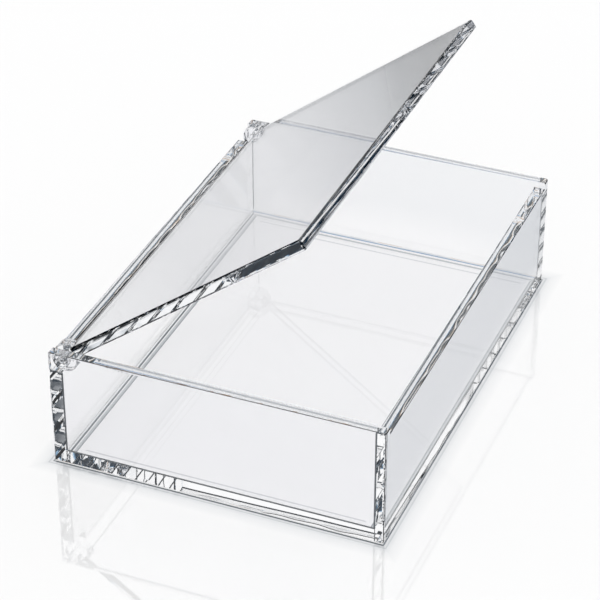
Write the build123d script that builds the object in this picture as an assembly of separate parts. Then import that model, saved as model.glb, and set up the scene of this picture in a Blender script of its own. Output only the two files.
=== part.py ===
from build123d import *
import os

# A clear acrylic storage box: five sheets cemented into an open tray, and a lid sheet that swings
# between the two side panels on a pair of clear pin hinges at the back.
# Millimetres. X runs along the hinge, -Y is the front, +Y the back, +Z is up.
# The origin is the middle of the underside.

# Outside of the tray
box_length = 215.0
box_width = 150.0
side_height = 56.0
wall_step = 3.0

# Cast sheet, diamond polished on every exposed edge
wall_thickness = 5.0
base_thickness = 5.0
lid_thickness = 5.0
arris = 0.8

# Lid
lid_open_angle = 37.0
lid_side_gap = 0.5
finger_gap = 6.0

# Hinges
pin_diameter = 5.0
pin_end_chamfer = 0.4
pin_running_clearance = 0.05
bore_cover = 1.5
knuckle_diameter = 12.0
knuckle_length = 5.5
knuckle_clearance = 0.6
knuckle_rim_chamfer = 0.5
slot_wall = 1.0
fitting_room = 5.5
notch_corner_radius = 2.5

# Sizes that follow from those above
inner_length = box_length - 2 * wall_thickness
inner_width = box_width - 2 * wall_thickness
low_wall_height = side_height - wall_step
lid_length = inner_length - 2 * lid_side_gap
hinge_y = box_width / 2 - knuckle_diameter / 2
hinge_z = side_height - bore_cover - pin_diameter / 2
lid_reach = hinge_y + inner_width / 2 - finger_gap
lid_setback = pin_diameter / 2 + slot_wall
pin_length = wall_thickness + lid_side_gap + knuckle_length
notch_length = lid_side_gap + knuckle_length + fitting_room
notch_floor = hinge_z - knuckle_diameter / 2 - knuckle_clearance
MATCH = 0.01


def is_near(a, b):
    """Say whether two coordinates are the same."""
    return abs(a - b) < MATCH


def x_cylinder(radius, length):
    """Make a cylinder that lies along X, centred on the origin."""
    return Rot(0, 90, 0) * Cylinder(radius, length)


def swung(shape):
    """Put a shape made about the hinge axis, lid level, at its place on the half-open lid."""
    return Pos(0, hinge_y, hinge_z) * Rot(-lid_open_angle, 0, 0) * shape


def base_panel():
    """Make the floor sheet, which lies between the four walls."""
    return Pos(0, 0, base_thickness / 2) * Box(inner_length, inner_width, base_thickness)


def side_panel(side):
    """Make a side panel over the whole width, bored for its hinge pin. side is -1 or 1."""
    centre_x = side * (box_length - wall_thickness) / 2
    inner_x = side * inner_length / 2
    sheet = Pos(centre_x, 0, side_height / 2) * Box(wall_thickness, box_width, side_height)

    def is_exposed(edge):
        middle = edge.center()
        return not (is_near(middle.X, inner_x) and middle.Z < side_height - MATCH)

    sheet = chamfer(sheet.edges().filter_by(is_exposed), arris)
    bore = x_cylinder(pin_diameter / 2 + pin_running_clearance, 3 * wall_thickness)
    return sheet - Pos(centre_x, hinge_y, hinge_z) * bore


def low_wall(facing):
    """Make the plain front or back wall between the side panels. facing is -1 or 1."""
    centre_y = facing * (box_width - wall_thickness) / 2
    sheet = Pos(0, centre_y, low_wall_height / 2) * Box(inner_length, wall_thickness, low_wall_height)

    def is_exposed(edge):
        middle = edge.center()
        is_long = is_near(middle.X, 0)
        is_outside = facing * middle.Y > inner_width / 2 + MATCH
        return is_long and (is_outside or middle.Z > MATCH)

    return chamfer(sheet.edges().filter_by(is_exposed), arris)


def front_panel():
    """Make the front wall."""
    return low_wall(-1)


def back_panel():
    """Make the back wall, with a milled notch at each end in which a knuckle turns."""
    panel = low_wall(1)
    notch_height = side_height - notch_floor
    for side in (-1, 1):
        blank = Box(notch_length, 3 * wall_thickness, notch_height)
        milled = blank.edges().filter_by(Axis.Y).sort_by(Axis.Z)[:2].sort_by(Axis.X)
        rounded = milled[0] if side > 0 else milled[-1]
        cutter = fillet(rounded, notch_corner_radius)
        cutter_x = side * (inner_length - notch_length) / 2
        panel -= Pos(cutter_x, box_width / 2, notch_floor + notch_height / 2) * cutter
    return panel


def lid_panel():
    """Make the lid sheet, from just in front of the hinge axis to the finger gap."""
    depth = lid_reach - lid_setback
    sheet = Pos(0, -lid_setback - depth / 2, 0) * Box(lid_length, depth, lid_thickness)
    return swung(chamfer(sheet.edges(), arris))


def hinge_knuckle(side):
    """Make a round knuckle, bored for the pin and slotted for the lid's rear corner."""
    barrel = x_cylinder(knuckle_diameter / 2, knuckle_length)
    barrel = chamfer(barrel.edges().filter_by(GeomType.CIRCLE), knuckle_rim_chamfer)
    barrel -= x_cylinder(pin_diameter / 2, 2 * knuckle_length)
    slot = Box(2 * knuckle_length, knuckle_diameter, lid_thickness)
    barrel -= Pos(0, -lid_setback - knuckle_diameter / 2, 0) * slot
    return swung(Pos(side * (lid_length - knuckle_length) / 2, 0, 0) * barrel)


def hinge_pin(side):
    """Make a pin, flush with the outside of its side panel and with the knuckle's inner end."""
    pin = x_cylinder(pin_diameter / 2, pin_length)
    pin = chamfer(pin.edges().filter_by(GeomType.CIRCLE), pin_end_chamfer)
    return swung(Pos(side * (box_length - pin_length) / 2, 0, 0) * pin)


def main():
    """Build every piece and write each to its own file."""
    pieces = {
        "base_panel": base_panel(),
        "front_panel": front_panel(),
        "back_panel": back_panel(),
        "side_panel_left": side_panel(-1),
        "side_panel_right": side_panel(1),
        "lid_panel": lid_panel(),
        "hinge_knuckle_left": hinge_knuckle(-1),
        "hinge_knuckle_right": hinge_knuckle(1),
        "hinge_pin_left": hinge_pin(-1),
        "hinge_pin_right": hinge_pin(1),
    }
    os.makedirs("parts", exist_ok=True)
    for name, shape in pieces.items():
        export_step(shape, f"parts/{name}.step")


main()
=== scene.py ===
import logging
import math
from collections.abc import Callable
from dataclasses import dataclass, field
from enum import Enum

import bmesh
import bpy
from mathutils import Matrix, Vector


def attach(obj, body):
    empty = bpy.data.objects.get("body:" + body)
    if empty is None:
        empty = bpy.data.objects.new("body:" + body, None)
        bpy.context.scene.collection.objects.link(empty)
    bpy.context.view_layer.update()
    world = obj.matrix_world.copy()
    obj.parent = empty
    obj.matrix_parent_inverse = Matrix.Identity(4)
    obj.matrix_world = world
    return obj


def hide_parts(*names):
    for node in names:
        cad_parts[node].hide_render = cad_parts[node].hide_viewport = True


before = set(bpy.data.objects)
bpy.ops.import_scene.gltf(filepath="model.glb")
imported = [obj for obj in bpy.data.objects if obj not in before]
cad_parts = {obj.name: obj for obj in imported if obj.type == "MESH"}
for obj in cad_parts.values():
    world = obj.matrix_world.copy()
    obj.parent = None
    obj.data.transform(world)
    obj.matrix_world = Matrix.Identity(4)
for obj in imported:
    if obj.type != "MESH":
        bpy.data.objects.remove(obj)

log = logging.getLogger("acrylic_box")

# The sheets are cut in millimetres, and Blender works in metres.
MM = 0.001
# Millimetres within which two coordinates are the same, and within which points are merged
NEAR = 1e-3
MERGED = 1e-4
# A face is square to an axis when its normal's part along that axis passes this.
SQUARE = 0.99
# Faces meet at an arris past the first angle, and in one smooth curve below the second.
ARRIS_ANGLE = math.radians(80)
CURVE_ANGLE = math.radians(25)

# How far the lid stands open, the way its top faces, and the middle of the hinge's axis
LID_OPEN = math.radians(37.0)
LID_NORMAL = (0.0, math.sin(LID_OPEN), math.cos(LID_OPEN))
HINGE = Vector((0.0, 69.0, 52.0))
# The places of two of a vector's numbers
X_AXIS, Y_AXIS = 0, 1

# Acrylic (PMMA): its refractive index, and the roughness of a mirror polish
PMMA_IOR = 1.491
POLISHED = 0.0

# The distance between two bands, or two rings, of a wave texture of scale 1
BAND_PITCH = math.tau / 10
RING_PITCH = math.tau / 20
# A colour Mix node's inputs go by number, because it has others of the same names.
SHARE, COLOUR_A, COLOUR_B = 0, 6, 7
BLEND = {"data_type": "RGBA"}
MULTIPLY = {"data_type": "RGBA", "blend_type": "MULTIPLY"}
WHITE = "#FFFFFF"

Colour = tuple[float, float, float, float]
Stops = tuple[tuple[float, str], ...]
Tree = bpy.types.NodeTree
Node = bpy.types.Node
Socket = bpy.types.NodeSocket


def srgb(code: str) -> Colour:
    """Turn an sRGB hex colour into the linear colour that Blender's sockets take.

    Args:
        code: six hex digits, with or without a leading hash.

    Returns:
        Linear red, green, blue and an alpha of 1.
    """
    raw = [int(code.lstrip("#")[i : i + 2], 16) / 255 for i in (0, 2, 4)]
    red, green, blue = (c / 12.92 if c <= 0.04045 else ((c + 0.055) / 1.055) ** 2.4 for c in raw)
    return (red, green, blue, 1.0)


def add_node(
    tree: Tree,
    kind: str,
    settings: dict[str, object] | None = None,
    values: dict[str | int, object] | None = None,
    stops: Stops = (),
    links: dict[str | int, Socket | Node] | None = None,
) -> Node:
    """Add one node to a tree, set it up and wire its inputs.

    Args:
        tree: the node tree that gets the node.
        kind: the node's bl_idname, without the ShaderNode that it starts with.
        settings: properties of the node itself.
        values: input sockets by name or number, with the value each holds.
        stops: positions from 0 to 1 on the node's colour ramp, with their sRGB hex colours.
        links: input sockets by name or number, with the output that feeds each. A node
            stands for the first of its outputs that is in use.

    Returns:
        The new node.
    """
    node = tree.nodes.new(f"ShaderNode{kind}")
    for name, value in (settings or {}).items():
        setattr(node, name, value)
    for socket, value in (values or {}).items():
        node.inputs[socket].default_value = value
    for socket, source in (links or {}).items():
        if isinstance(source, Node):
            source = next(output for output in source.outputs if output.enabled)
        tree.links.new(source, node.inputs[socket])
    if stops:
        row = node.color_ramp.elements
        while len(row) < len(stops):
            row.new(1.0)
        for element, (position, code) in zip(row, stops):
            element.position = position
            element.color = srgb(code)
    return node


def blank_material(name: str) -> tuple[bpy.types.Material, Tree]:
    """Start a node material with nothing in it.

    Args:
        name: the material's name.

    Returns:
        The material and its node tree.
    """
    mat = bpy.data.materials.new(name)
    mat.use_nodes = True
    mat.node_tree.nodes.clear()
    return mat, mat.node_tree


def polished_acrylic(tree: Tree, tint: str, relief: Socket | Node, depth_mm: float) -> Node:
    """Make clear polished acrylic with a shallow relief in its surface.

    Args:
        tree: the material's node tree.
        tint: the sRGB hex colour of the clear acrylic.
        relief: the height of the surface, from 0 to 1.
        depth_mm: how far 1 stands above 0.

    Returns:
        The shader's node.
    """
    bump = add_node(tree, "Bump", values={"Distance": depth_mm * MM}, links={"Height": relief})
    return add_node(
        tree, "BsdfPrincipled",
        values={
            "Base Color": srgb(tint), "Roughness": POLISHED, "IOR": PMMA_IOR,
            "Transmission Weight": 1.0,
        },
        links={"Normal": bump},
    )


class Finish(Enum):
    """The polished and joined surfaces of the box, in the order of a piece's material slots."""

    SHEET_FACE = 0
    SIDE_EDGE = 1
    LONG_EDGE = 2
    LID_EDGE = 3
    CEMENT_JOINT = 4
    TURNED_ROD = 5
    SAWN_GROOVE = 6


@dataclass(frozen=True)
class CastSheetFace:
    """Cast acrylic (PMMA) as it leaves the glass moulds: water clear, with a mirror skin.

    It shows what lies behind it almost unchanged, and mirrors the studio strongly at a
    shallow angle. The sheet is very slightly wavy, which makes mirrored edges wander.
    """

    tint: str = "#FDFDFE"
    wave_mm: float = 38.0
    wave_depth_mm: float = 0.01

    def material(self) -> bpy.types.Material:
        """Build the material.

        Returns:
            Clear polished acrylic with a faint long wave in its surface.
        """
        mat, tree = blank_material("cast_acrylic_sheet_face")
        where = add_node(tree, "TexCoord")
        wave = add_node(
            tree, "TexNoise",
            values={"Scale": 1 / (self.wave_mm * MM), "Detail": 1.0, "Roughness": 0.4},
            links={"Vector": where.outputs["Object"]},
        )
        skin = polished_acrylic(tree, self.tint, wave, self.wave_depth_mm)
        add_node(tree, "OutputMaterial", links={"Surface": skin})
        return mat


@dataclass(frozen=True)
class DiamondPolishedEdge:
    """A sawn acrylic edge that a diamond cutter has planed clear.

    The cutter leaves a train of very shallow arcs across the edge. They can't be felt,
    and they break what shows through the edge into short bright and dark facets.
    """

    sheet: str
    across: tuple[float, float, float]
    tint: str = "#FAFBFD"
    feed_mm: float = 13.0
    feed_depth_mm: float = 0.08
    flattened: float = 0.8

    def material(self) -> bpy.types.Material:
        """Build the material.

        Returns:
            Clear polished acrylic with faint cutter arcs, drawn out across the sheet.
        """
        mat, tree = blank_material(f"diamond_polished_acrylic_{self.sheet}_edge")
        where = add_node(tree, "TexCoord")
        through = add_node(
            tree, "VectorMath", settings={"operation": "PROJECT"}, values={1: self.across},
            links={0: where.outputs["Object"]},
        )
        along = add_node(
            tree, "VectorMath", settings={"operation": "MULTIPLY_ADD"},
            values={1: (-self.flattened,) * 3}, links={0: through, 2: where.outputs["Object"]},
        )
        arcs = add_node(
            tree, "TexNoise", values={"Scale": 1 / (self.feed_mm * MM), "Detail": 0.0},
            links={"Vector": along},
        )
        skin = polished_acrylic(tree, self.tint, arcs, self.feed_depth_mm)
        add_node(tree, "OutputMaterial", links={"Surface": skin})
        return mat


@dataclass(frozen=True)
class SolventCementJoint:
    """A butt joint welded with solvent cement, which has the same index as the sheet.

    Light passes straight through it, so two welded sheets look like one block.
    """

    tint: str = WHITE

    def material(self) -> bpy.types.Material:
        """Build the material.

        Returns:
            A material that lets light through unbent.
        """
        mat, tree = blank_material("solvent_cement_joint")
        clear = add_node(tree, "BsdfTransparent", values={"Color": srgb(self.tint)})
        add_node(tree, "OutputMaterial", links={"Surface": clear})
        return mat


@dataclass(frozen=True)
class SawnGroove:
    """A broken arris inside a joint, left as the saw and scraper leave it.

    It is fine and matt, so each joint shows as a soft grey hairline.
    """

    tint: str = "#3E464C"
    scraped: str = "#6A737A"
    roughness: float = 0.45
    clearness: float = 0.2
    scrape_mm: float = 6.0

    def material(self) -> bpy.types.Material:
        """Build the material.

        Returns:
            A frosted, hardly clear Principled material, paler where the scraper bit.
        """
        mat, tree = blank_material("sawn_acrylic_groove")
        where = add_node(tree, "TexCoord")
        bites = add_node(
            tree, "TexNoise", values={"Scale": 1 / (self.scrape_mm * MM), "Detail": 2.0},
            links={"Vector": where.outputs["Object"]},
        )
        grey = add_node(
            tree, "Mix", settings=BLEND,
            values={COLOUR_A: srgb(self.tint), COLOUR_B: srgb(self.scraped)}, links={SHARE: bites},
        )
        frost = add_node(
            tree, "BsdfPrincipled",
            values={
                "Roughness": self.roughness, "IOR": PMMA_IOR,
                "Transmission Weight": self.clearness,
            },
            links={"Base Color": grey},
        )
        add_node(tree, "OutputMaterial", links={"Surface": frost})
        return mat


@dataclass(frozen=True)
class TurnedRod:
    """Extruded acrylic rod, turned and buffed for the hinge pins and knuckles.

    Faint rings from the lathe run round it and break up its highlights.
    """

    tint: str = "#FDFDFE"
    ring_mm: float = 1.1
    ring_depth_mm: float = 0.0012

    def material(self) -> bpy.types.Material:
        """Build the material.

        Returns:
            Clear polished acrylic with faint rings about the hinge axis.
        """
        mat, tree = blank_material("turned_acrylic_rod")
        where = add_node(tree, "TexCoord")
        axis = add_node(
            tree, "Mapping", settings={"vector_type": "TEXTURE"}, values={"Location": HINGE * MM},
            links={"Vector": where.outputs["Object"]},
        )
        rings = add_node(
            tree, "TexWave", settings={"wave_type": "RINGS", "rings_direction": "X"},
            values={"Scale": RING_PITCH / (self.ring_mm * MM)}, links={"Vector": axis},
        )
        skin = polished_acrylic(tree, self.tint, rings.outputs["Fac"], self.ring_depth_mm)
        add_node(tree, "OutputMaterial", links={"Surface": skin})
        return mat


@dataclass
class AcrylicStock:
    """The finishes that every piece of the box is dressed with, one slot for each Finish."""

    slots: list[bpy.types.Material] = field(init=False)

    def __post_init__(self) -> None:
        """Make each finish once."""
        recipes = {
            Finish.SHEET_FACE: CastSheetFace(),
            Finish.SIDE_EDGE: DiamondPolishedEdge("side", across=(1.0, 0.0, 0.0)),
            Finish.LONG_EDGE: DiamondPolishedEdge("long", across=(0.0, 1.0, 0.0)),
            Finish.LID_EDGE: DiamondPolishedEdge("lid", across=LID_NORMAL),
            Finish.CEMENT_JOINT: SolventCementJoint(),
            Finish.TURNED_ROD: TurnedRod(),
            Finish.SAWN_GROOVE: SawnGroove(),
        }
        self.slots = [recipes[finish].material() for finish in Finish]


class SolidMesh:
    """A closed mesh in millimetres while it is cut to shape."""

    def __init__(self) -> None:
        """Start with nothing."""
        self.bm = bmesh.new()

    @classmethod
    def block(cls, low: Vector, high: Vector) -> "SolidMesh":
        """Make a sawn block.

        Args:
            low: its lowest corner.
            high: its highest corner.

        Returns:
            The block.
        """
        solid = cls()
        bmesh.ops.create_cube(solid.bm, size=1.0)
        bmesh.ops.scale(solid.bm, vec=high - low, verts=solid.bm.verts)
        bmesh.ops.translate(solid.bm, vec=(low + high) / 2, verts=solid.bm.verts)
        return solid

    @classmethod
    def turned(cls, profile: list[tuple[float, float]], centre_x: float, steps: int) -> "SolidMesh":
        """Turn a closed profile about the X axis.

        Args:
            profile: distance along X from the middle, and radius, of each corner in turn.
            centre_x: where the middle of the turned piece lies along X.
            steps: facets round it.

        Returns:
            The turned ring or rod.
        """
        solid = cls()
        verts = [solid.bm.verts.new((centre_x + along, 0.0, radius)) for along, radius in profile]
        edges = [solid.bm.edges.new(pair) for pair in zip(verts, verts[1:] + verts[:1])]
        bmesh.ops.spin(
            solid.bm, geom=verts + edges, cent=(0, 0, 0), axis=(1, 0, 0), angle=math.tau,
            steps=steps, use_merge=True,
        )
        bmesh.ops.remove_doubles(solid.bm, verts=solid.bm.verts, dist=MERGED)
        bmesh.ops.recalc_face_normals(solid.bm, faces=solid.bm.faces)
        return solid

    def break_arrises(self, width: float, steps: int, chosen: Callable[[Vector], bool]) -> None:
        """Round the sharp edges over, or plane them to one narrow flat.

        Args:
            width: how far the rounding reaches into each face.
            steps: flats in the rounding.
            chosen: says from an edge's middle whether it is broken.
        """
        edges = [
            e
            for e in self.bm.edges
            if e.calc_face_angle() > ARRIS_ANGLE
            and chosen((e.verts[0].co + e.verts[1].co) / 2)
        ]
        if edges:
            self.round_over(edges, width, steps)

    def round_over(self, edges: list[bmesh.types.BMEdge], width: float, steps: int) -> None:
        """Round edges over.

        Args:
            edges: the edges.
            width: how far the rounding reaches into each face.
            steps: flats in the rounding.
        """
        bmesh.ops.bevel(
            self.bm, geom=edges, offset=width, offset_type="OFFSET", segments=steps, profile=0.5,
            affect="EDGES", material=-1, clamp_overlap=True,
        )

    def score(self, point: Vector, normal: Vector, within: Callable[[Vector], bool]) -> None:
        """Cut faces along a plane without opening them.

        Args:
            point: a point on the plane.
            normal: the plane's normal.
            within: says from a face's middle whether that face is cut.
        """
        faces = [f for f in self.bm.faces if within(f.calc_center_median())]
        edges = list(dict.fromkeys(e for f in faces for e in f.edges))
        verts = list(dict.fromkeys(v for f in faces for v in f.verts))
        bmesh.ops.bisect_plane(
            self.bm, geom=faces + edges + verts, dist=NEAR, plane_co=point, plane_no=normal
        )

    def finish_faces(self, finish: Finish, chosen: Callable[[bmesh.types.BMFace], bool]) -> None:
        """Give the chosen faces a finish.

        Args:
            finish: the finish.
            chosen: says of a face whether it gets it.
        """
        for face in self.bm.faces:
            if chosen(face):
                face.material_index = finish.value

    def placed(self, matrix: Matrix) -> "SolidMesh":
        """Move the solid, and return it."""
        bmesh.ops.transform(self.bm, matrix=matrix, verts=self.bm.verts)
        return self

    def mesh(self, name: str) -> bpy.types.Mesh:
        """Write the solid out in metres.

        Args:
            name: the mesh's name.

        Returns:
            The new mesh.
        """
        bmesh.ops.scale(self.bm, vec=(MM, MM, MM), verts=self.bm.verts)
        made = bpy.data.meshes.new(name)
        self.bm.to_mesh(made)
        self.bm.free()
        return made


@dataclass
class Piece:
    """One piece of the box: its mesh as a scene object, tied to the frame."""

    name: str
    body: str
    slot: str
    shape: bpy.types.Object = field(init=False)

    def make(self, solid: SolidMesh, stock: AcrylicStock) -> "Piece":
        """Turn the solid into the scene's object.

        Args:
            solid: the finished solid, in millimetres.
            stock: the finishes.

        Returns:
            The piece itself.
        """
        mesh = solid.mesh(f"{self.name}_clear")
        for mat in stock.slots:
            mesh.materials.append(mat)
        self.shape = bpy.data.objects.new(f"{self.name}_clear", mesh)
        bpy.context.scene.collection.objects.link(self.shape)
        return self

    def drill(self, cutter: SolidMesh) -> None:
        """Take a cutter's shape out of the piece.

        Args:
            cutter: what is removed, in millimetres.
        """
        mesh = cutter.mesh("cutter")
        for mat in self.shape.data.materials:
            mesh.materials.append(mat)
        tool = bpy.data.objects.new("cutter", mesh)
        bpy.context.scene.collection.objects.link(tool)
        cut = self.shape.modifiers.new("cut", "BOOLEAN")
        cut.operation = "DIFFERENCE"
        cut.solver = "EXACT"
        cut.object = tool
        graph = bpy.context.evaluated_depsgraph_get()
        done = bpy.data.meshes.new_from_object(self.shape.evaluated_get(graph))
        self.shape.modifiers.clear()
        old = self.shape.data
        self.shape.data = done
        bpy.data.meshes.remove(old)
        bpy.data.objects.remove(tool)
        bpy.data.meshes.remove(mesh)

    def hand_over(self, rounded: bool = False) -> None:
        """Shade the piece, tie it to its body and hide its node.

        Args:
            rounded: shade the turned faces as one curve. The planed ones stay flat.
        """
        if rounded:
            self.shape.data.set_sharp_from_angle(angle=CURVE_ANGLE)
            faces = self.shape.data.polygons
            turned = [face.material_index == Finish.TURNED_ROD.value for face in faces]
            faces.foreach_set("use_smooth", turned)
        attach(self.shape, self.body)
        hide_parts(self.name)
        log.info("%s: %d faces on body %s", self.name, len(self.shape.data.polygons), self.body)


@dataclass
class CementedTray:
    """The open tray: a floor and four walls, butt jointed and welded with solvent cement.

    The arrises at the inside corners are broken before the sheets are cemented, so a
    hair-fine groove runs along each of those joints. Beside it the side panels are
    scraped clean of cement, in a bead as fine.
    """

    stock: AcrylicStock
    length: float = 215.0
    width: float = 150.0
    height: float = 56.0
    step: float = 3.0
    sheet: float = 5.0
    arris: float = 0.8
    arris_steps: int = 4
    groove: float = 0.45
    weld_film: float = 0.01
    scraped_bead: float = 0.35
    bore_radius: float = 2.55
    bore_steps: int = 72
    bore_reach: float = 8.0
    notch_length: float = 11.5
    notch_floor: float = 45.4
    notch_radius: float = 2.5
    notch_steps: int = 8
    overshoot: float = 5.0

    @property
    def inner_x(self) -> float:
        """Distance from the middle to a side panel's inner face."""
        return self.length / 2 - self.sheet

    @property
    def inner_y(self) -> float:
        """Distance from the middle to the front or back wall's inner face."""
        return self.width / 2 - self.sheet

    @property
    def low_height(self) -> float:
        """Height of the front and back walls."""
        return self.height - self.step

    def build(self) -> None:
        """Build and dress the five sheets, and mark where cement joins them."""
        self.floor_sheet()
        for side, name in ((-1, "side_panel_left"), (1, "side_panel_right")):
            self.side_sheet(side, name)
        self.low_wall(-1, "front_panel").hand_over()
        self.notched_back().hand_over(rounded=True)

    def sawn(
        self,
        low: Vector,
        high: Vector,
        edge: Finish,
        exposed: Callable[[Vector], bool],
        grooved: Callable[[Vector], bool],
    ) -> SolidMesh:
        """Saw a sheet to size, break its exposed arrises and polish its edges.

        Args:
            low: its lowest corner.
            high: its highest corner.
            edge: the finish of its edges.
            exposed: says from an edge's middle whether its arris is rounded over.
            grooved: says from an edge's middle whether it borders a groove.

        Returns:
            The sheet.
        """
        solid = SolidMesh.block(low, high)
        solid.break_arrises(self.groove, 1, grooved)
        solid.bm.normal_update()
        sawn = {f for f in solid.bm.faces if max(abs(v) for v in f.normal) < SQUARE}
        solid.break_arrises(self.arris, 1, lambda m: m.z < NEAR and exposed(m))
        solid.break_arrises(self.arris, self.arris_steps, exposed)
        solid.bm.normal_update()
        spans = high - low
        thin = min(range(3), key=lambda i: spans[i])
        solid.finish_faces(edge, lambda f: abs(f.normal[thin]) < SQUARE)
        solid.finish_faces(Finish.SAWN_GROOVE, lambda f: f in sawn)
        return solid

    def weld(
        self,
        solid: SolidMesh,
        axis: int,
        plane: float,
        patches: list[tuple[Vector, Vector]],
        finish: Finish = Finish.CEMENT_JOINT,
    ) -> None:
        """Mark the parts of a face that cement covers, or that are scraped clean of it.

        Args:
            solid: the sheet.
            axis: the axis that the face is square to.
            plane: where the face lies along that axis.
            patches: lowest and highest corner of each rectangle.
            finish: what the rectangles get.
        """

        def on_face(middle: Vector) -> bool:
            """Say whether a point lies on the face."""
            return abs(middle[axis] - plane) < NEAR

        cross = [i for i in range(3) if i != axis]
        for low, high in patches:
            for i in cross:
                normal = Vector([1.0 if i == k else 0.0 for k in range(3)])
                for value in (low[i], high[i]):
                    solid.score(normal * value, normal, on_face)
        for low, high in patches:
            solid.finish_faces(
                finish,
                lambda f: on_face(f.calc_center_median())
                and all(low[i] - NEAR < f.calc_center_median()[i] < high[i] + NEAR for i in cross),
            )

    def floor_sheet(self) -> None:
        """Build the floor, whose four edges are all welded to the walls."""
        x, y = self.inner_x - self.weld_film, self.inner_y - self.weld_film
        solid = self.sawn(
            Vector((-x, -y, 0)),
            Vector((x, y, self.sheet)),
            Finish.LONG_EDGE,
            exposed=lambda m: False,
            grooved=lambda m: m.z > self.sheet - NEAR,
        )
        solid.finish_faces(
            Finish.CEMENT_JOINT, lambda f: max(abs(f.normal.x), abs(f.normal.y)) > SQUARE
        )
        Piece("base_panel", "tray", "tray_acrylic").make(solid, self.stock).hand_over()

    def side_sheet(self, side: int, name: str) -> None:
        """Build a side panel with its welds, scraped beads and hinge bore.

        Args:
            side: -1 for the left one, 1 for the right one.
            name: its node.
        """
        inner = side * self.inner_x
        outer = side * self.length / 2
        half = self.width / 2
        y, g = self.inner_y, self.groove
        solid = self.sawn(
            Vector((min(inner, outer), -half, 0)),
            Vector((max(inner, outer), half, self.height)),
            Finish.SIDE_EDGE,
            exposed=lambda m: not (abs(m.x - inner) < NEAR and m.z < self.height - NEAR),
            grooved=lambda m: False,
        )
        cemented = [
            (Vector((0, -y, 0)), Vector((0, y, self.sheet - g))),
            (Vector((0, -half, 0)), Vector((0, -y - g, self.low_height))),
            (Vector((0, y + g, 0)), Vector((0, half, self.notch_floor))),
        ]
        self.weld(solid, X_AXIS, inner, cemented)
        bead = y - self.scraped_bead
        scraped = [
            (Vector((0, -y - g, self.sheet)), Vector((0, -bead, self.low_height))),
            (Vector((0, bead, self.sheet)), Vector((0, y + g, self.notch_floor))),
        ]
        self.weld(solid, X_AXIS, inner, scraped, Finish.SAWN_GROOVE)
        piece = Piece(name, "tray", "tray_acrylic").make(solid, self.stock)
        end, radius = self.bore_reach, self.bore_radius
        bore = SolidMesh.turned(
            [(-end, 0), (-end, radius), (end, radius), (end, 0)],
            side * (self.length - self.sheet) / 2,
            self.bore_steps,
        )
        bore.finish_faces(Finish.TURNED_ROD, lambda f: True)
        piece.drill(bore.placed(Matrix.Translation(HINGE)))
        piece.hand_over(rounded=True)

    def low_wall(self, facing: int, name: str) -> Piece:
        """Build a front or back wall, welded to the floor and at both ends.

        Args:
            facing: -1 for the front, 1 for the back.
            name: its node.

        Returns:
            The wall, not yet tied to its body.
        """
        inner = facing * self.inner_y
        near, far = sorted((inner, facing * self.width / 2))
        x, g = self.inner_x - self.weld_film, self.groove

        def at_inside(m: Vector) -> bool:
            """Say whether a point lies on the wall's inner face."""
            return facing * m.y < self.inner_y + NEAR

        def at_corner(m: Vector) -> bool:
            """Say whether a point is the middle of an upright edge in a corner of the tray."""
            return abs(m.x) > NEAR and at_inside(m) and NEAR < m.z < self.low_height - NEAR

        solid = self.sawn(
            Vector((-x, near, 0)),
            Vector((x, far, self.low_height)),
            Finish.LONG_EDGE,
            exposed=lambda m: abs(m.x) < NEAR and (not at_inside(m) or m.z > NEAR),
            grooved=at_corner,
        )
        self.weld(solid, Y_AXIS, inner, [(Vector((-x, 0, 0)), Vector((x, 0, self.sheet - g)))])
        solid.finish_faces(Finish.CEMENT_JOINT, lambda f: abs(f.normal.x) > SQUARE)
        return Piece(name, "tray", "tray_acrylic").make(solid, self.stock)

    def notched_back(self) -> Piece:
        """Build the back wall and mill the notch for a knuckle at each end.

        Returns:
            The wall, not yet tied to its body.
        """
        piece = self.low_wall(1, "back_panel")
        for side in (-1, 1):
            inner = side * (self.inner_x - self.notch_length)
            outer = side * (self.inner_x + self.overshoot)
            back, top = self.width / 2 + self.overshoot, self.height + self.overshoot
            cutter = SolidMesh.block(
                Vector((min(inner, outer), self.inner_y - self.overshoot, self.notch_floor)),
                Vector((max(inner, outer), back, top)),
            )
            edges = [
                e
                for e in cutter.bm.edges
                if all(
                    abs(v.co.x - inner) < NEAR and abs(v.co.z - self.notch_floor) < NEAR
                    for v in e.verts
                )
            ]
            cutter.round_over(edges, self.notch_radius, self.notch_steps)
            cutter.finish_faces(Finish.LONG_EDGE, lambda f: True)
            piece.drill(cutter)
        return piece


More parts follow.
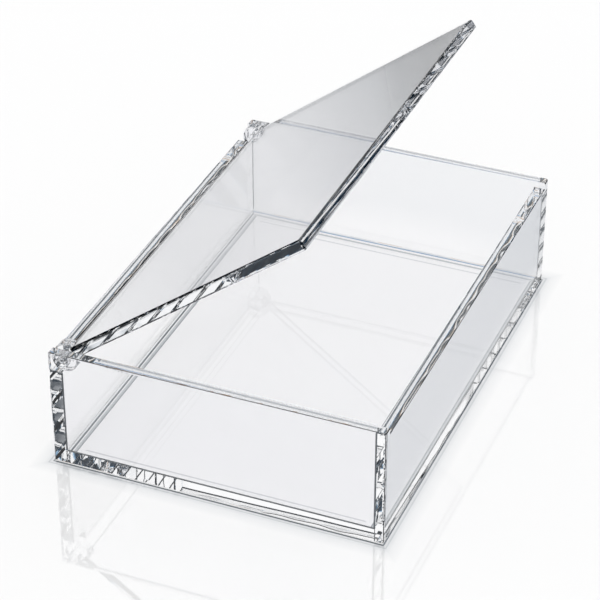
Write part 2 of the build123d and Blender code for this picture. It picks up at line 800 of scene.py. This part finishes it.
@dataclass
class LiftingLid:
    """The lid sheet with the knuckle on each rear corner and the pin through it.

    The sheet's top is buffed down along its far side, which leaves a pale border there.
    """

    stock: AcrylicStock
    length: float = 204.0
    reach: float = 133.0
    setback: float = 3.5
    sheet: float = 5.0
    arris: float = 0.8
    arris_steps: int = 4
    border: float = 4.5
    border_fall: float = 0.7
    still_face: float = 0.98
    knuckle_radius: float = 6.0
    knuckle_length: float = 5.5
    knuckle_steps: int = 96
    rim: float = 0.5
    slot_overshoot: float = 10.0
    pin_radius: float = 2.5
    pin_length: float = 11.0
    pin_outer_x: float = 107.5
    pin_chamfer: float = 0.4
    pin_steps: int = 72
    facet_fall: float = 0.1
    glue_film: float = 0.03

    @property
    def swing(self) -> Matrix:
        """The lid's place: level about the axis, then tipped open."""
        return Matrix.Translation(HINGE) @ Matrix.Rotation(-LID_OPEN, 4, "X")

    def build(self) -> None:
        """Build and dress the lid, its knuckles and its pins."""
        self.lid_sheet()
        for side, word in ((-1, "left"), (1, "right")):
            self.knuckle(side, f"hinge_knuckle_{word}")
            self.pin(side, f"hinge_pin_{word}")

    def lid_sheet(self) -> None:
        """Build the lid sheet, every edge planed and polished, with its border buffed down.

        The border's faces lean a little, and still count as the sheet's face.
        """
        half = self.sheet / 2
        solid = SolidMesh.block(
            Vector((-self.length / 2, -self.reach, -half)),
            Vector((self.length / 2, -self.setback, half)),
        )
        line = Vector((self.length / 2 - self.border, 0, 0))
        solid.score(line, Vector((1, 0, 0)), lambda middle: True)
        for vert in solid.bm.verts:
            if vert.co.z > 0 and vert.co.x > self.length / 2 - NEAR:
                vert.co.z -= self.border_fall
        solid.bm.normal_update()
        solid.break_arrises(self.arris, self.arris_steps, lambda m: True)
        solid.bm.normal_update()
        solid.finish_faces(Finish.LID_EDGE, lambda f: abs(f.normal.z) < self.still_face)
        solid.placed(self.swing)
        Piece("lid_panel", "lid", "lid_acrylic").make(solid, self.stock).hand_over()

    def knuckle(self, side: int, name: str) -> None:
        """Build a knuckle: a bored ring, slotted for the lid's corner.

        Args:
            side: -1 for the left one, 1 for the right one.
            name: its node.
        """
        half = self.knuckle_length / 2
        bore = self.pin_radius + self.glue_film
        radius = self.knuckle_radius
        profile = [
            (-half, bore), (-half, radius - self.rim), (-half + self.rim, radius),
            (half - self.rim, radius), (half, radius - self.rim), (half, bore),
        ]
        centre = side * (self.length / 2 - half)
        ring = SolidMesh.turned(profile, centre, self.knuckle_steps)
        ring.finish_faces(Finish.TURNED_ROD, lambda f: True)
        ring.finish_faces(
            Finish.CEMENT_JOINT, lambda f: f.calc_center_median().yz.length < bore + NEAR
        )
        piece = Piece(name, "lid", "hinge_acrylic").make(ring.placed(self.swing), self.stock)
        gap = self.sheet / 2 + self.glue_film
        slot = SolidMesh.block(
            Vector((centre - self.slot_overshoot, -2 * radius, -gap)),
            Vector((centre + self.slot_overshoot, -self.setback + self.glue_film, gap)),
        )
        slot.finish_faces(Finish.TURNED_ROD, lambda f: True)
        piece.drill(slot.placed(self.swing))
        piece.hand_over(rounded=True)

    def pin(self, side: int, name: str) -> None:
        """Build a pin with a small chamfer at both ends.

        Args:
            side: -1 for the left one, 1 for the right one.
            name: its node.
        """
        half = self.pin_length / 2
        cut = self.pin_chamfer
        middle = side * (self.pin_outer_x - half)
        shoulder = side * self.length / 2
        profile = [
            (-half, 0.0), (-half, self.pin_radius - cut), (-half + cut, self.pin_radius),
            (shoulder - middle, self.pin_radius), (half - cut, self.pin_radius),
            (half, self.pin_radius - cut), (half, 0.0),
        ]
        rod = SolidMesh.turned(profile, middle, self.pin_steps)
        round_from = self.pin_radius - self.facet_fall

        def in_knuckle(face: bmesh.types.BMFace) -> bool:
            """Say whether a face of the pin is cemented into the knuckle."""
            at = face.calc_center_median()
            return side * (shoulder - at.x) > 0 and at.yz.length > round_from

        rod.finish_faces(Finish.TURNED_ROD, lambda f: True)
        rod.finish_faces(Finish.CEMENT_JOINT, in_knuckle)
        Piece(name, "lid", "hinge_acrylic").make(rod.placed(self.swing), self.stock).hand_over(
            rounded=True
        )


@dataclass
class Studio:
    """A white gloss table in a white light tent, and the camera.

    Clear edges show only what stands round them, so dark and white cards are painted on the
    table and dark drapes in the tent as painted reflections, which only rays out of the
    acrylic find, with painted blue and amber glints at their borders. The table also carries
    painted contact shadow under the walls, and painted shade and a painted reflection round their
    foot.
    """

    # The camera's place in millimetres, the way it looks, and its lens
    eye: Vector = field(default_factory=lambda: Vector((-820.718, -330.519, 619.348)))
    look: Vector = field(default_factory=lambda: Vector((0.772263, 0.316309, -0.550962)))
    lens_mm: float = 143.17
    sensor_mm: float = 36.0
    clip_m: tuple[float, float] = (0.05, 50.0)

    # How many times light may cross acrylic, be mirrored, be scattered and cross cement
    crossings: int = 40
    mirrorings: int = 24
    scatterings: int = 3
    cement_crossings: int = 64

    # The table top. Its mirror is strong for the camera and weak for light inside the box.
    table_half_m: float = 4.0
    table_drop_mm: float = 0.1
    table_roughness: float = 0.03
    table_ior: float = 1.4
    table_extra_ior: float = 3.4
    table_glow: float = 0.5

    # Its colour as the acrylic mirrors it and shows it through, a painted reflection that the
    # camera doesn't see straight on: by metres from the middle of the box, nearly white near it
    # and dark far behind. Past fade_from_y the second row takes over, by table_start plus
    # metres to the right and to the front.
    near_stops: Stops = (
        (0.125, WHITE), (0.150, "#F6F7F8"), (0.330, "#F6F7F8"), (0.360, WHITE),
    )
    fade_from_y: float = 0.226
    fade_to_y: float = 0.234
    table_start: float = 0.5
    painted_reflection_stops: Stops = (
        (0.30, WHITE), (0.47, "#E2E3E5"), (0.59, "#ECECEE"), (0.66, "#D0D1D4"), (0.70, "#BDBEC2"),
        (0.755, "#A2A4A9"), (0.81, "#585C61"), (0.88, "#1B1E22"),
    )
    # A pale grey card in front of the box, a painted reflection, by the share of the way from
    # one y to the other
    front_from_y: float = -0.35
    front_to_y: float = 0.0
    front_stops: Stops = (
        (0.765, "#BBC0C5"), (0.785, WHITE),
    )

    # Painted reflections, as cards that only light from deep in an edge finds: a white oval
    # with dark round it, and slanted dark bands beyond the walls, with painted blue glints at
    # their borders
    edge_depth: float = 6.5
    card_gap_mm: float = 8.0
    patch_centre: tuple[float, float, float] = (0.12, 0.055, 0.0)
    patch_reach: tuple[float, float, float] = (0.5, 0.3, 1.0)
    patch_stops: Stops = (
        (0.66, WHITE), (0.68, "#8FB6D6"), (0.71, "#24394B"), (1.0, "#1A2834"),
    )
    band_mm: float = 22.0
    band_stops: Stops = (
        (0.36, WHITE), (0.40, "#8FB6D6"), (0.45, "#1F3548"), (0.93, "#121C25"), (0.95, "#9FB0BC"),
        (0.97, WHITE),
    )

    # Painted contact shadow, in millimetres outward from the faces of the walls that look into
    # the tray: lines under the front and back walls and under the side panels, which only light
    # through the acrylic sees, with painted blue and amber glints in them, and the painted shade
    # and painted reflection round the foot, which the camera sees
    inner_half_mm: tuple[float, float] = (102.5, 70.0)
    foot_from_mm: float = -8.0
    foot_to_mm: float = 7.0
    long_painted_shadow_stops: Stops = (
        (-3.0, WHITE), (-2.7, "#8E949A"), (-2.4, "#8E949A"), (-2.2, "#C4C8CC"), (-1.4, "#D2D5D8"),
        (-1.2, WHITE), (-0.7, WHITE), (-0.5, "#5A646B"), (0.1, "#5A646B"), (0.4, WHITE),
        (1.6, WHITE), (1.8, "#8FB6D6"), (2.1, "#3A454C"), (3.2, "#3A454C"), (3.5, "#E3C6A4"),
        (3.8, WHITE), (4.2, WHITE), (4.4, "#3A454C"), (6.2, "#20292F"), (6.6, WHITE),
    )
    side_painted_shadow_stops: Stops = (
        (-6.4, WHITE), (-6.2, "#D8DADC"), (-5.6, "#D8DADC"), (-5.4, WHITE), (-2.1, WHITE),
        (-1.8, "#BCC0C4"), (-0.9, "#B4B8BC"), (-0.6, WHITE), (0.7, WHITE), (1.0, "#4F7FB0"),
        (1.5, "#86A9C8"), (1.8, "#E4E7EA"), (2.7, "#E4E7EA"), (3.0, WHITE), (3.7, WHITE),
        (3.9, "#C9A27C"), (4.2, "#C9A27C"), (4.5, WHITE),
    )
    # The lines wander outside ripple_from_mm, and fully so from ripple_full_mm on.
    ripple_mm: float = 14.0
    ripple_reach_mm: float = 10.0
    ripple_start_mm: float = -3.5
    ripple_from_mm: float = 1.5
    ripple_full_mm: float = 3.0
    # The painted shade and painted reflection round the foot that the camera sees: a dark line at
    # the wall's outer face, grey bands that mirror its lower edge, and a soft shadow
    shade_reach_mm: float = 20.0
    shade_stops: Stops = (
        (4.6, WHITE), (4.9, "#6A737A"), (5.3, "#6A737A"), (5.7, "#E4E6E8"), (6.4, "#D8DADD"),
        (6.8, "#C0C4C8"), (7.2, "#E4E6E8"), (9.0, "#F2F3F4"), (14.0, WHITE),
    )

    # The tent's drapes, by height and by the way round: painted dark reflections that neither
    # light the box nor show to the camera, with painted blue glints along their edges. A ray
    # that is mirrored at less than first_mirror_depth sees plain white in their place.
    height_stops: Stops = (
        (0.0, "#10181F"), (0.405, "#22384B"), (0.417, "#6FA3D0"), (0.425, WHITE), (0.75, WHITE),
    )
    around_stops: Stops = (
        (0.30, WHITE), (0.33, "#121C25"), (0.4200, "#1C2B38"), (0.4212, "#B4BCC4"),
        (0.4224, WHITE),
    )
    first_mirror_depth: float = 1.5

    def build(self) -> None:
        """Set up everything round the box."""
        self.table()
        self.tent()
        self.camera()
        self.light_paths()

    def table(self) -> None:
        """Lay the gloss white table top, with the painted reflection cards and the painted contact
        shadow lines on it.
        """
        mat, tree = blank_material("gloss_white_table")
        where = add_node(tree, "TexCoord").outputs["Object"]
        path = add_node(tree, "LightPath")
        # Painted contact shadow under the walls, and for the camera painted shade and a painted
        # reflection round their foot
        painted_shadow, painted_shade_and_reflection, rim = self.painted_contact_shadow(tree, where)
        deep = add_node(
            tree, "Math", settings={"operation": "GREATER_THAN"}, values={1: self.edge_depth},
            links={0: path.outputs["Ray Depth"]},
        )
        # Light from deep in an edge sees the painted reflection cards, other light the painted
        # reflection of the table
        seen = add_node(
            tree, "Mix", settings=BLEND,
            links={
                SHARE: deep, COLOUR_A: self.painted_reflection_pool(tree, where),
                COLOUR_B: self.painted_reflection_cards(tree, where, rim),
            },
        )
        marked = add_node(
            tree, "Mix", settings=MULTIPLY, values={SHARE: 1.0},
            links={COLOUR_A: seen, COLOUR_B: painted_shadow},
        )
        colour = add_node(
            tree, "Mix", settings=BLEND,
            links={SHARE: path.outputs["Is Camera Ray"], COLOUR_A: marked, COLOUR_B: painted_shade_and_reflection},
        )
        gloss = add_node(
            tree, "Math", settings={"operation": "MULTIPLY_ADD"},
            values={1: self.table_extra_ior, 2: self.table_ior},
            links={0: path.outputs["Is Camera Ray"]},
        )
        top = add_node(
            tree, "BsdfPrincipled", values={"Roughness": self.table_roughness},
            links={"Base Color": colour, "IOR": gloss},
        )
        glow = add_node(tree, "Emission", links={"Color": colour})
        lit = add_node(tree, "MixShader", values={0: self.table_glow}, links={1: top, 2: glow})
        add_node(tree, "OutputMaterial", links={"Surface": lit})
        self.table_top(mat)

    def table_top(self, mat: bpy.types.Material) -> None:
        """Lay the sheet of the table top just under the box.

        Args:
            mat: the table's material.
        """
        bm = bmesh.new()
        bmesh.ops.create_grid(bm, x_segments=1, y_segments=1, size=self.table_half_m)
        bmesh.ops.translate(bm, vec=(0, 0, -self.table_drop_mm * MM), verts=bm.verts)
        mesh = bpy.data.meshes.new("table_top")
        bm.to_mesh(mesh)
        bm.free()
        mesh.materials.append(mat)
        top_object = bpy.data.objects.new("table_top", mesh)
        bpy.context.scene.collection.objects.link(top_object)

    def painted_reflection_pool(self, tree: Tree, where: Socket) -> Node:
        """Paint the table as the sheets mirror it and show it through them, a painted reflection
        that the camera doesn't see straight on.

        Args:
            tree: the table's node tree.
            where: object coordinates.

        Returns:
            The painted reflection's colour: nearly white round the box, dark far behind it, pale
            grey in front.
        """
        far = add_node(tree, "VectorMath", settings={"operation": "LENGTH"}, links={0: where})
        aslant = add_node(
            tree, "VectorMath", settings={"operation": "DOT_PRODUCT"},
            values={1: (1.0, -1.0, 0.0)}, links={0: where},
        )
        away = add_node(
            tree, "Math", settings={"operation": "ADD"}, values={1: self.table_start},
            links={0: aslant},
        )
        place = add_node(tree, "SeparateXYZ", links={"Vector": where})
        behind = add_node(
            tree, "MapRange", values={"From Min": self.fade_from_y, "From Max": self.fade_to_y},
            links={"Value": place.outputs["Y"]},
        )
        before = add_node(
            tree, "MapRange", values={"From Min": self.front_from_y, "From Max": self.front_to_y},
            links={"Value": place.outputs["Y"]},
        )
        near = add_node(tree, "ValToRGB", stops=self.near_stops, links={"Fac": far})
        slanted = add_node(tree, "ValToRGB", stops=self.painted_reflection_stops, links={"Fac": away})
        fade = add_node(
            tree, "Mix", settings=BLEND, links={SHARE: behind, COLOUR_A: near, COLOUR_B: slanted},
        )
        front = add_node(tree, "ValToRGB", stops=self.front_stops, links={"Fac": before})
        return add_node(
            tree, "Mix", settings=MULTIPLY, values={SHARE: 1.0},
            links={COLOUR_A: fade, COLOUR_B: front},
        )

    def painted_reflection_cards(self, tree: Tree, where: Socket, rim: Node) -> Node:
        """Paint the dark and white cards that only the polished edges show, as painted reflections
        with painted blue glints at their borders.

        Args:
            tree: the table's node tree.
            where: object coordinates.
            rim: the distance outward from the walls' inner faces.

        Returns:
            The colour of the painted reflection cards.
        """
        oval = add_node(
            tree, "Mapping", settings={"vector_type": "TEXTURE"},
            values={"Location": self.patch_centre, "Scale": self.patch_reach},
            links={"Vector": where},
        )
        out_from = add_node(tree, "VectorMath", settings={"operation": "LENGTH"}, links={0: oval})
        bands = add_node(
            tree, "TexWave", settings={"bands_direction": "DIAGONAL", "wave_profile": "SAW"},
            values={"Scale": BAND_PITCH / (self.band_mm * MM)}, links={"Vector": where},
        )
        clear_of = add_node(
            tree, "Math", settings={"operation": "GREATER_THAN"},
            values={1: self.card_gap_mm * MM}, links={0: rim},
        )
        patch = add_node(tree, "ValToRGB", stops=self.patch_stops, links={"Fac": out_from})
        slants = add_node(
            tree, "ValToRGB", stops=self.band_stops, links={"Fac": bands.outputs["Fac"]},
        )
        return add_node(
            tree, "Mix", settings=MULTIPLY,
            links={SHARE: clear_of, COLOUR_A: patch, COLOUR_B: slants},
        )

    def painted_contact_shadow(self, tree: Tree, where: Socket) -> tuple[Node, Node, Node]:
        """Paint contact shadow lines under the walls, with painted blue and amber glints, and
        painted shade and a painted reflection round their foot.

        Args:
            tree: the table's node tree.
            where: object coordinates.

        Returns:
            The painted contact shadow under the foot and the painted shade and reflection round
            it, both white away from the walls, and the distance outward from the walls' inner
            faces.
        """

        def shares(stops: Stops) -> Stops:
            """Turn millimetres from the wall's inner face into positions on the ramp."""
            span = self.foot_to_mm - self.foot_from_mm
            return tuple(((at - self.foot_from_mm) / span, code) for at, code in stops)

        place = add_node(tree, "SeparateXYZ", links={"Vector": where})
        beyond = []
        for axis, half in zip("XY", self.inner_half_mm):
            size = add_node(
                tree, "Math", settings={"operation": "ABSOLUTE"}, links={0: place.outputs[axis]},
            )
            past = add_node(
                tree, "Math", settings={"operation": "SUBTRACT"}, values={1: half * MM},
                links={0: size},
            )
            beyond.append(past)
        rim = add_node(
            tree, "Math", settings={"operation": "MAXIMUM"}, links={0: beyond[0], 1: beyond[1]},
        )
        at_side = add_node(
            tree, "Math", settings={"operation": "GREATER_THAN"},
            links={0: beyond[0], 1: beyond[1]},
        )
        ripple = add_node(
            tree, "TexNoise",
            values={"Scale": 1 / (self.ripple_mm * MM), "Detail": 1.0, "Roughness": 0.4},
            links={"Vector": where},
        )
        wander = add_node(
            tree, "Math", settings={"operation": "MULTIPLY_ADD", "use_clamp": True},
            values={1: self.ripple_reach_mm * MM, 2: self.ripple_start_mm * MM}, links={0: ripple},
        )
        grown = add_node(
            tree, "MapRange",
            values={"From Min": self.ripple_from_mm * MM, "From Max": self.ripple_full_mm * MM},
            links={"Value": rim},
        )
        moved = add_node(
            tree, "Math", settings={"operation": "MULTIPLY_ADD"},
            links={0: wander, 1: grown, 2: rim},
        )
        under = add_node(
            tree, "MapRange",
            values={"From Min": self.foot_from_mm * MM, "From Max": self.foot_to_mm * MM},
            links={"Value": moved},
        )
        # Painted contact shadow lines under the walls, with painted blue and amber glints
        painted_shadow_lines = [
            add_node(tree, "ValToRGB", stops=shares(stops), links={"Fac": under})
            for stops in (self.long_painted_shadow_stops, self.side_painted_shadow_stops)
        ]
        line = add_node(
            tree, "Mix", settings=BLEND,
            links={SHARE: at_side, COLOUR_A: painted_shadow_lines[0], COLOUR_B: painted_shadow_lines[1]},
        )
        # Painted shade and painted reflection round the foot, for the camera
        outside = add_node(
            tree, "Math", settings={"operation": "MULTIPLY"},
            values={1: 1 / (self.shade_reach_mm * MM)}, links={0: rim},
        )
        ring = add_node(
            tree, "ValToRGB",
            stops=tuple((at / self.shade_reach_mm, code) for at, code in self.shade_stops),
            links={"Fac": outside},
        )
        return line, ring, rim

    def tent(self) -> None:
        """Light everything evenly, and paint dark drapes into the world as painted reflections that
        only the clear edges show, with painted blue glints at their edges.
        """
        world = bpy.data.worlds.new("light_tent")
        world.use_nodes = True
        tree = world.node_tree
        tree.nodes.clear()
        where = add_node(tree, "TexCoord")
        split = add_node(tree, "SeparateXYZ", links={"Vector": where.outputs["Generated"]})
        height = add_node(
            tree, "ValToRGB", stops=self.height_stops, links={"Fac": split.outputs["Z"]},
        )
        turn = add_node(
            tree, "Math", settings={"operation": "ARCTAN2"},
            links={0: split.outputs["Y"], 1: split.outputs["X"]},
        )
        share = add_node(
            tree, "Math", settings={"operation": "MULTIPLY_ADD"}, values={1: 1 / math.tau, 2: 0.5},
            links={0: turn},
        )
        around = add_node(tree, "ValToRGB", stops=self.around_stops, links={"Fac": share})
        both = add_node(
            tree, "Mix", settings=MULTIPLY, values={SHARE: 1.0},
            links={COLOUR_A: height, COLOUR_B: around},
        )
        path = add_node(tree, "LightPath")
        first = add_node(
            tree, "Math", settings={"operation": "LESS_THAN"}, values={1: self.first_mirror_depth},
            links={0: path.outputs["Ray Depth"]},
        )
        mirrored = add_node(
            tree, "Math", settings={"operation": "MULTIPLY_ADD"},
            links={0: path.outputs["Is Glossy Ray"], 1: first, 2: path.outputs["Is Camera Ray"]},
        )
        even = add_node(
            tree, "Math", settings={"operation": "MAXIMUM"},
            links={0: mirrored, 1: path.outputs["Is Diffuse Ray"]},
        )
        colour = add_node(
            tree, "Mix", settings=BLEND, values={COLOUR_B: srgb(WHITE)},
            links={SHARE: even, COLOUR_A: both},
        )
        light = add_node(tree, "Background", links={"Color": colour})
        add_node(tree, "OutputWorld", links={"Surface": light})
        bpy.context.scene.world = world

    def camera(self) -> None:
        """Put the camera where the photograph was taken from."""
        lens = bpy.data.cameras.new("camera")
        lens.lens = self.lens_mm
        lens.sensor_width = self.sensor_mm
        lens.clip_start, lens.clip_end = self.clip_m
        eye = bpy.data.objects.new("camera", lens)
        turn = self.look.normalized().to_track_quat("-Z", "Y").to_matrix().to_4x4()
        eye.matrix_world = Matrix.Translation(self.eye * MM) @ turn
        bpy.context.scene.collection.objects.link(eye)
        bpy.context.scene.camera = eye

    def light_paths(self) -> None:
        """Let light cross as many acrylic faces as an edge needs."""
        scene = bpy.context.scene
        scene.view_settings.view_transform = "Standard"
        cycles = scene.cycles
        cycles.max_bounces = self.crossings
        cycles.transmission_bounces = self.crossings
        cycles.glossy_bounces = self.mirrorings
        cycles.diffuse_bounces = self.scatterings
        cycles.transparent_max_bounces = self.cement_crossings
        cycles.blur_glossy = 0.0
        cycles.use_denoising = True


def main() -> None:
    """Build the box and its studio, in order."""
    logging.basicConfig(level=logging.INFO, format="%(name)s: %(message)s")
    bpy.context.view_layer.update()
    stock = AcrylicStock()
    CementedTray(stock).build()
    LiftingLid(stock).build()
    Studio().build()


if __name__ == "__main__":
    main()
